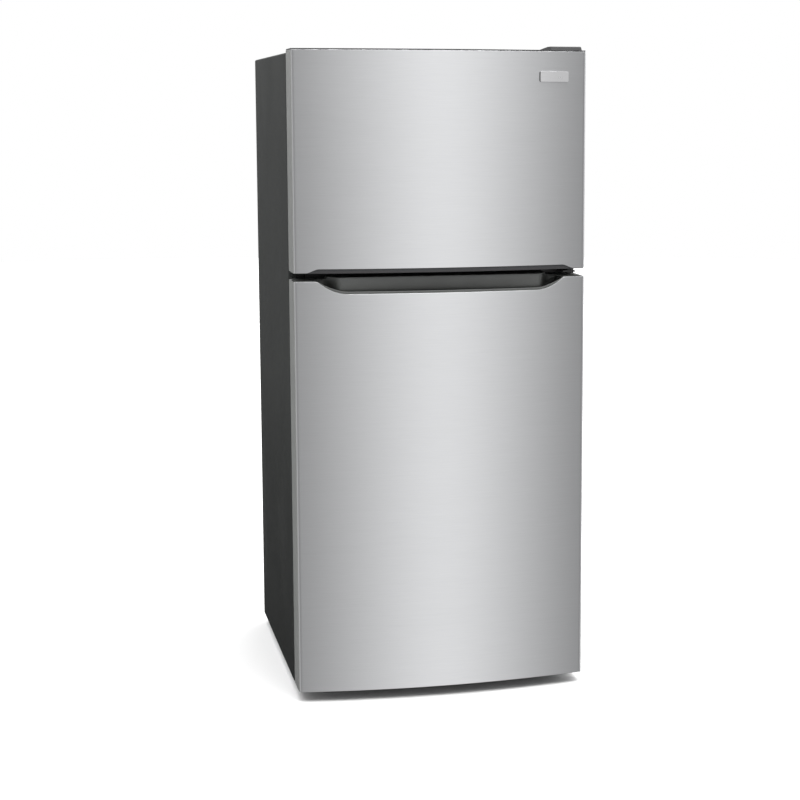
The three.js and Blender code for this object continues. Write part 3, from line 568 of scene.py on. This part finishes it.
# ---------------------------------------------------------------- cabinet
def cabinet_wrap():
    """Both sides and the top as one folded sheet with returns at the front and the back."""
    radius, bend = 5.0, 1.6
    path = [(-HALF, CABINET_BOTTOM), (-HALF, 800.0)]
    for i in range(9):
        a = math.pi - math.pi / 2 * i / 8
        path.append((-HALF + radius + radius * math.cos(a), CABINET_TOP - radius + radius * math.sin(a)))
    path += [(-x, z) for x, z in reversed(path)]
    turns = [math.pi / 2 * i / 4 for i in range(5)]
    folds = [(bend * (1 - math.sin(a)), bend * (1 - math.cos(a))) for a in turns]

    def row(inset, y):
        made = []
        for x, z in path:
            inner_x = math.copysign(min(abs(x), HALF - inset), x)
            made.append((inner_x, y, min(z, CABINET_TOP - inset)))
        return made

    rows = [row(44.0, CABINET_FRONT)]
    rows += [row(inset, CABINET_FRONT + step) for inset, step in folds]
    rows += [row(0, y) for y in (-100.0, 100.0, 300.0)]
    rows += [row(inset, CABINET_REAR - step) for inset, step in reversed(folds)]
    rows.append(row(14.0, CABINET_REAR))
    verts, faces = loft(rows, closed=False, caps=False)
    piece = new_piece("cabinet_wrap", verts, faces, PAINT,
                      stands_for=("left_side_panel", "right_side_panel", "top_panel"), slot="charcoal_paint")
    sheet = piece.modifiers.new("sheet", "SOLIDIFY")
    sheet.thickness = 1.2 * MM
    sheet.offset = -1
    return piece


cabinet_wrap()


def tub(name, node, outline, half, heights, ribs, radius=12):
    """A moulded liner: rounded walls, a flat flange round the mouth, and shelf ribs on both sides."""
    inner = raw_object(name + "_inner", *prism("x", outline, -half, half))
    shape = bmesh.new()
    shape.from_mesh(inner.data)
    front = CABINET_FRONT * MM
    edges = [e for e in shape.edges if max(v.co.y for v in e.verts) > front + 1e-4]
    bmesh.ops.bevel(shape, geom=edges, offset=radius * MM, segments=5, affect="EDGES", profile=0.5)
    mouth = [f for f in shape.faces if all(abs(v.co.y - front) < 1e-5 for v in f.verts)]
    bmesh.ops.delete(shape, geom=mouth, context="FACES")
    for face in shape.faces:
        face.normal_flip()
    shape.to_mesh(inner.data)
    shape.free()
    solid = inner.modifiers.new("wall", "SOLIDIFY")
    solid.thickness = 2 * MM
    solid.offset = -1
    apply_modifiers(inner)
    opening = rounded_rectangle((-half, half), heights, radius, 5)
    mouth_cut = prism("y", opening, CABINET_FRONT - 5, CABINET_FRONT + 5)
    wide, _, high = node_box(node)
    plate = carve(name + "_flange", block(wide, (CABINET_FRONT, CABINET_FRONT + 2), high), [mouth_cut])
    rib_objects = [raw_object(name + "_rib", *rib) for rib in ribs]
    for rib in rib_objects:
        bevel = rib.modifiers.new("round", "BEVEL")
        bevel.width = 2.5 * MM
        bevel.segments = 3
        apply_modifiers(rib)
    piece = join_pieces(name, [inner, plate, *rib_objects])
    return settle(piece, (WHITE,), "cabinet", (node,))


def shelf_ribs(half, height, depth):
    """A pair of ribs that hold a shelf, one on each wall."""
    front, thick = -130, 8
    sides = [sorted((s * (half - 9), s * (half + 1))) for s in (-1, 1)]
    return [block(side, (front, front + depth), (height - thick, height)) for side in sides]


tub("freezer_tub", "freezer_liner",
    [(CABINET_FRONT, 1140), (355, 1140), (355, 1605), (CABINET_FRONT, 1605)],
    322, (1140, 1605), shelf_ribs(322, 1372, 390))
fridge_ribs = [rib for height in (840, 580, 303) for rib in shelf_ribs(328, height, 460)]
tub("fridge_tub", "fridge_liner",
    [(CABINET_FRONT, 85), (170, 85), (170, 275), (355, 275), (355, 1075), (CABINET_FRONT, 1075)],
    328, (85, 1075), fridge_ribs)


# ---------------------------------------------------------------- the CAD nodes that stay
# Each node's material, and how wide its edges are rounded in millimetres.
KEPT = {
    "base_frame": (ZINC, 0.4), "cabinet_foam": (FOAM, 0.0), "mullion_rail": (PAINT, 0.3),
    "top_hinge_bracket": (ZINC, 0.4), "top_hinge_cover": (BLACK, 1.0),
    "centre_hinge_bracket": (BLACK_STEEL, 0.4), "bottom_hinge_bracket": (ZINC, 0.4),
    "toe_grille": (BLACK, 0.4), "machine_cover": (PAINT, 0.3), "evaporator_cover": (TRIM_WHITE, 0.5),
    "evaporator_fan_motor": (BLACK, 0.6), "evaporator_fan": (TRIM_WHITE, 0.3),
    "evaporator_coil": (ALUMINIUM, 0.0), "compressor": (BLACK_STEEL, 0.8),
    "condenser_fan_motor": (BLACK_STEEL, 0.6), "condenser_fan": (BLACK, 0.3),
    "condenser_coil": (BLACK_STEEL, 0.0), "drain_pan": (BLACK, 0.6), "control_housing": (TRIM_WHITE, 1.0),
    "temperature_knob": (TRIM_WHITE, 0.8), "light_switch_plunger": (TRIM_WHITE, 0.6),
    "freezer_wire_shelf": (TRIM_WHITE, 0.0), "upper_shelf_frame": (TRIM_WHITE, 1.2),
    "lower_shelf_frame": (TRIM_WHITE, 1.2), "upper_shelf_glass": (GLASS, 0.5),
    "lower_shelf_glass": (GLASS, 0.5), "crisper_cover": (CLEAR, 1.0), "crisper_left": (CLEAR, 1.0),
    "crisper_right": (CLEAR, 1.0), "humidity_slider_left": (TRIM_WHITE, 0.6),
    "humidity_slider_right": (TRIM_WHITE, 0.6), "rear_roller_left": (BLACK, 1.0),
    "rear_roller_right": (BLACK, 1.0), "levelling_leg_left": (ZINC, 0.5),
    "levelling_leg_right": (ZINC, 0.5), "freezer_door_foam": (FOAM, 0.0),
    "freezer_door_liner": (WHITE, 1.6), "freezer_bin_upper": (CLEAR, 0.8),
    "freezer_bin_lower": (CLEAR, 0.8), "fridge_door_foam": (FOAM, 0.0), "fridge_door_liner": (WHITE, 1.6),
    "fridge_bin_lower": (CLEAR, 0.8), "fridge_bin_middle": (CLEAR, 0.8), "dairy_bin": (CLEAR, 0.8),
    "dairy_lid": (CLEAR, 0.8),
}
for node, (material, bevel) in KEPT.items():
    kept = frame["nodes"][node]
    kept.data.materials.clear()
    kept.data.materials.append(material)
    if bevel:
        weld = kept.modifiers.new("weld", "WELD")
        weld.merge_threshold = 0.01 * MM
        soften(kept, bevel)


# ---------------------------------------------------------------- details added to the CAD parts
def ring_seal(name, node, body, corner=18):
    """A bellows gasket: a soft hollow section carried round the door."""
    x, _, z = node_box(node)
    section = [(2.0, -287.2), (0.6, -286.0), (2.6, -283.6), (0.6, -281.2), (0.0, -277.6), (1.2, -276.0),
               (4.5, -275.8), (7.5, -276.5), (10.5, -275.8), (13.8, -276.0), (15.0, -277.6), (14.4, -281.2),
               (12.4, -283.6), (14.4, -286.0), (13.0, -287.2)]
    rings = []
    for inset, y in section + section[:1]:
        outline = inner_rectangle(x, z, inset, max(corner - inset, 2.0))
        rings.append([(u, y, v) for u, v in outline])
    verts, faces = loft(rings, caps=False)
    new_piece(name, verts, faces, RUBBER, body=body, stands_for=(node,), slot="gasket_rubber",
              smooth=math.radians(45))


ring_seal("freezer_door_seal", "freezer_door_gasket", "freezer_door")
ring_seal("fridge_door_seal", "fridge_door_gasket", "fridge_door")


def pressed_sheet(name, x, z, levels, material, **ride):
    """A thin sheet pressed in steps: levels are (inset from the edge, y, corner radius)."""
    rings = []
    for inset, y, radius in levels:
        rings.append([(u, y, v) for u, v in inner_rectangle(x, z, inset, radius)])
    verts, faces = loft(rings)
    new_piece(name, verts, faces, material, smooth=math.radians(40), **ride)


BACK_X, _, BACK_Z = node_box("back_panel")
BACK_FACE, BACK_RAISED = 405.5, 406.4
pressed_sheet("back_sheet", BACK_X, BACK_Z,
              [(0, 404.8, 3), (0, 405.3, 3), (0.4, BACK_FACE, 3), (16, BACK_FACE, 8), (19, BACK_RAISED, 8),
               (34, BACK_RAISED, 8), (37, 405.6, 8)],
              PAINT, stands_for=("back_panel",), slot="charcoal_paint")
ribs = []
for height in (440, 680, 920, 1160, 1400):
    outer, inner = [inner_rectangle((-280, 280), (height - 16, height + 16), i, 15.9 - i) for i in (0, 3)]
    ribs.append(loft([[(u, BACK_FACE, v) for u, v in outer], [(u, BACK_RAISED, v) for u, v in inner]]))
new_piece("back_sheet_ribs", *join_meshes(*ribs), PAINT, slot="charcoal_paint")
pressed_sheet("back_blank_label", (180, 290), (1480, 1550),
              [(0, BACK_FACE, 3), (0, 405.8, 3), (0.3, 405.9, 3)], LABEL_GREY)


def pan_head(x, y, z, radius, high, toward=(0, 1, 0), sides=20):
    """(verts, faces) of a screw head with a dimple, standing on (x, y, z)."""
    turn = Vector((0, 0, 1)).rotation_difference(Vector(toward)).to_matrix()
    rings = []
    for share, up in ((1.0, 0.0), (1.0, 0.25), (0.8, 0.8), (0.5, 1.0), (0.34, 1.0), (0.26, 0.55)):
        ring = []
        for i in range(sides):
            a = math.tau * i / sides
            point = turn @ Vector((radius * share * math.cos(a), radius * share * math.sin(a), high * up))
            ring.append(tuple(point + Vector((x, y, z))))
        rings.append(ring)
    return loft(rings)


places = [(s * 371, z) for s in (-1, 1) for z in (262, 520, 780, 1040, 1300, 1560)]
places += [(x, 1657) for x in (-300, -100, 100, 300)]
back_heads = [pan_head(x, BACK_FACE - 0.05, z, 4.5, 0.9) for x, z in places]
new_piece("back_screws", *join_meshes(*back_heads), ZINC, slot="zinc_steel")
inside_heads = [pan_head(s * 290, 281.9, z, 5.0, 2.0, (0, -1, 0)) for s in (-1, 1) for z in (1165, 1585)]
inside_heads += [pan_head(s * 155, -130, 1031.9, 4.0, 1.6, (0, 0, -1)) for s in (-1, 1)]
new_piece("liner_screws", *join_meshes(*inside_heads), ZINC, slot="zinc_steel")


def slotted_block(name, x, y, z, slots, material, bevel):
    """A moulding with slots cut through it along Y: slots are (x0, x1, z0, z1)."""
    cuts = [prism("y", rounded_rectangle(s[:2], s[2:], 2.5, 4), y[0] - 2, y[1] + 2) for s in slots]
    outline = rounded_rectangle(x, z, 10)
    piece = carve(name, prism("y", outline, *y), cuts)
    settle(piece, (material,), "cabinet", ())
    return soften(piece, bevel)


vents = []
for middle in (-34, 34):
    for base in (400, 660, 920):
        vents += [(middle - 22, middle + 22, low, low + 5) for low in range(base, base + 36, 9)]
slotted_block("air_duct_cover", (-76, 76), (344, 354.6), (335, 1020), vents, TRIM_WHITE, 1.5)


def lamp_lens():
    """A frosted ribbed cover over the lamp in the control housing."""
    half_x, half_y, middle = 58, 48, -65
    rings = []
    for inset, z in ((0, 1034.5), (0, 1031.5), (0.8, 1029.5), (3.0, 1028.2), (6.0, 1027.8)):
        across, along = (half_x - inset) / half_x, (half_y - inset) / half_y
        outline = rounded_rectangle((-half_x, half_x), (-half_y, half_y), 9 if inset < 3 else 6)
        rings.append([(u * across, middle + v * along, z) for u, v in outline])
    flutes = [block((-50, 50), (y, y + 4), (1027.0, 1028.4)) for y in range(-106, -24, 9)]
    new_piece("lamp_lens", *join_meshes(loft(rings), *flutes), LENS_PLASTIC)


lamp_lens()


def dial_marks():
    """Short raised strokes round the temperature knob, longer toward the cold end."""
    (x0, x1), _, (z0, z1) = node_box("temperature_knob")
    centre = Vector(((x0 + x1) / 2, 0, (z0 + z1) / 2))
    start, width = 16.6, 0.7
    marks = []
    for i in range(7):
        a = math.radians(225 - 45 * i)
        reach = 18.6 + 0.35 * i
        along, across = Vector((math.cos(a), 0, math.sin(a))), Vector((-math.sin(a), 0, math.cos(a)))
        corners = ((start, -width), (reach, -width), (reach, width), (start, width))
        outline = [centre + along * r + across * w for r, w in corners]
        marks.append(prism("y", [(p.x, p.z) for p in outline], -205.5, -204.9))
    new_piece("dial_marks", *join_meshes(*marks), CAP_GREY)


dial_marks()


def bin_rim(node, body):
    """The thicker white band round the rim of a door bin, open toward the door."""
    name = node + "_rim"
    proud, wide, high, door_side = 1.3, 5.0, 11.0, -299.5
    (_, half), (_, front), (_, top) = node_box(node)
    side, reach = half + proud, front + proud
    outer = block((-side, side), (door_side, reach), (top - high, top + 1.2))
    inner = block((wide - side, side - wide), (door_side - 1, reach - wide), (top - high - 5, top + 5))
    piece = carve(name, outer, [inner])
    settle(piece, (TRIM_WHITE,), body, ())
    soften(piece, 1.2, 3)


bin_rim("freezer_bin_upper", "freezer_door")
bin_rim("freezer_bin_lower", "freezer_door")
bin_rim("fridge_bin_lower", "fridge_door")
bin_rim("fridge_bin_middle", "fridge_door")


# ---------------------------------------------------------------- studio
STRENGTH = 4  # AROUND and CEILING are divided by this in their ramps, and the world multiplies by it
# Brightness by azimuth in degrees, from -Y toward +X.
AROUND = [(-180, 0.26), (-150, 0.26), (-95, 0.62), (-60, 0.66), (-34, 0.38), (-14, 0.29), (5, 1.04),
          (12.5, 1.42), (20, 1.04), (38, 0.27), (52, 0.32), (75, 1.0), (105, 0.95), (150, 0.5), (180, 0.26)]
# Brightness added overhead, by the height of the direction from -1 to 1.
CEILING = [(0.62, 0.0), (0.9, 2.2), (1.0, 2.4)]
# Away from the front, brightness is also multiplied by this, by that same height.
BEHIND = [(-0.3, 0.02), (-0.12, 0.16), (-0.03, 0.5), (0.06, 2.6)]


def stage_object(name, verts, faces):
    """A plain mesh in metres, not yet linked."""
    mesh = bpy.data.meshes.new(name)
    mesh.from_pydata(verts, [], faces)
    return bpy.data.objects.new(name, mesh)


def sweep_floor():
    """A pale floor that reflections leave out, and a far white wall seen only directly or through glass."""
    reach, wall, high, sides = 30.0, 14.0, 20.0, 48
    corners = [(-reach, -reach, 0), (reach, -reach, 0), (reach, reach, 0), (-reach, reach, 0)]
    floor = stage_object("floor", corners, [(0, 1, 2, 3)])
    pale = Surface("floor_pale", (0.88, 0.88, 0.88), 0.9)
    pale.set("Specular IOR Level", 0.0)
    pale.tint(pale.noise((1, 1, 1), 3.0), 0.004)
    floor.data.materials.append(pale.material)
    floor.visible_glossy = False

    ring = [(wall * math.cos(a), wall * math.sin(a)) for a in (math.tau * i / sides for i in range(sides))]
    verts, faces = loft([[(x, y, z) for x, y in ring] for z in (-0.5, high)], caps=False)
    backdrop = stage_object("backdrop", verts, faces)
    white = Surface("backdrop_white", (0, 0, 0), 1.0)
    white.set("Specular IOR Level", 0.0)
    white.set("Emission Color", (1, 1, 1, 1))
    white.set("Emission Strength", 1.0)
    backdrop.data.materials.append(white.material)
    backdrop.visible_glossy = False
    backdrop.visible_diffuse = False
    backdrop.visible_shadow = False
    for made in (floor, backdrop):
        scene.collection.objects.link(made)


def studio_world():
    """Soft light all round, from the three tables of levels."""
    world = bpy.data.worlds.new("studio")
    scene.world = world
    world.use_nodes = True
    nodes, links = world.node_tree.nodes, world.node_tree.links

    def made(kind, operation=None, **inputs):
        node = nodes.new("ShaderNode" + kind)
        if operation:
            node.operation = operation
        for socket, value in inputs.items():
            node.inputs[socket.replace("_", " ")].default_value = value
        return node

    def ramp(source, stops):
        node = nodes.new("ShaderNodeValToRGB")
        elements = node.color_ramp.elements
        elements.remove(elements[-1])
        elements[0].position = stops[0][0]
        elements[0].color = (*[stops[0][1]] * 3, 1)
        for position, level in stops[1:]:
            elements.new(position).color = (*[level] * 3, 1)
        links.new(source, node.inputs["Fac"])
        return node.outputs["Color"]

    where = nodes.new("ShaderNodeTexCoord")
    split = nodes.new("ShaderNodeSeparateXYZ")
    links.new(where.outputs["Generated"], split.inputs[0])
    back = made("Math", "MULTIPLY")
    back.inputs[1].default_value = -1
    links.new(split.outputs["Y"], back.inputs[0])
    azimuth = made("Math", "ARCTAN2")
    links.new(split.outputs["X"], azimuth.inputs[0])
    links.new(back.outputs[0], azimuth.inputs[1])
    share = made("MapRange", From_Min=-math.pi, From_Max=math.pi)
    links.new(azimuth.outputs[0], share.inputs["Value"])
    stops = [((degrees + 180) / 360, level / STRENGTH) for degrees, level in AROUND]
    around = ramp(share.outputs["Result"], stops)
    height = made("MapRange", From_Min=-1.0, From_Max=1.0)
    links.new(split.outputs["Z"], height.inputs["Value"])
    above = ramp(height.outputs["Result"], [((z + 1) / 2, level / STRENGTH) for z, level in CEILING])
    low_behind = ramp(height.outputs["Result"], [((z + 1) / 2, level) for z, level in BEHIND])
    front = made("MapRange", From_Min=-0.25, From_Max=0.05)
    links.new(back.outputs[0], front.inputs["Value"])
    dim = made("Mix")
    dim.data_type = "RGBA"
    links.new(front.outputs["Result"], dim.inputs[0])
    links.new(low_behind, dim.inputs[MIX_A])
    dim.inputs[MIX_B].default_value = (1, 1, 1, 1)
    product = made("Mix")
    product.data_type = "RGBA"
    product.blend_type = "MULTIPLY"
    product.inputs[0].default_value = 1
    links.new(around, product.inputs[MIX_A])
    links.new(dim.outputs[MIX_RESULT], product.inputs[MIX_B])
    total = made("Mix")
    total.data_type = "RGBA"
    total.blend_type = "ADD"
    total.inputs[0].default_value = 1
    links.new(product.outputs[MIX_RESULT], total.inputs[MIX_A])
    links.new(above, total.inputs[MIX_B])
    background = nodes["Background"]
    background.inputs["Strength"].default_value = STRENGTH
    links.new(total.outputs[MIX_RESULT], background.inputs["Color"])


def softbox(name, place, aim, size, power):
    """A rectangular lamp that shines at a point and is hidden from the camera."""
    data = bpy.data.lights.new(name, "AREA")
    data.shape = "RECTANGLE"
    data.size, data.size_y = size
    data.energy = power
    lamp = bpy.data.objects.new(name, data)
    lamp.location = place
    lamp.rotation_euler = (Vector(aim) - Vector(place)).to_track_quat("-Z", "Y").to_euler()
    lamp.visible_camera = False
    scene.collection.objects.link(lamp)


sweep_floor()
studio_world()
softbox("ceiling_light", (0.3, -1.2, 3.6), (0, 0, 0.6), (2.4, 2.4), 55)
scene.view_settings.view_transform = "Standard"
scene.view_settings.look = "None"


def camera():
    """The photograph's viewpoint: a place, its turns in degrees, and a focal length in pixels."""
    place, turn = (-0.9689, -4.8465, 1.5201), (13.455, 8.14, 0.026)
    focal, frame_width, sensor = 1791.0, 800, 36
    data = bpy.data.cameras.new("camera")
    data.sensor_width = sensor
    data.lens = focal / frame_width * sensor
    data.shift_x, data.shift_y = -0.1, -0.04
    data.clip_start, data.clip_end = 0.1, 200
    made = bpy.data.objects.new("camera", data)
    made.location = place
    yaw, pitch, roll = (math.radians(v) for v in turn)
    forward = Vector((math.sin(yaw) * math.cos(pitch), math.cos(yaw) * math.cos(pitch), -math.sin(pitch)))
    made.rotation_mode = "QUATERNION"
    upright = forward.to_track_quat("-Z", "Y")
    made.rotation_quaternion = upright @ Matrix.Rotation(roll, 3, "Z").to_quaternion()
    scene.collection.objects.link(made)
    scene.camera = made


camera()
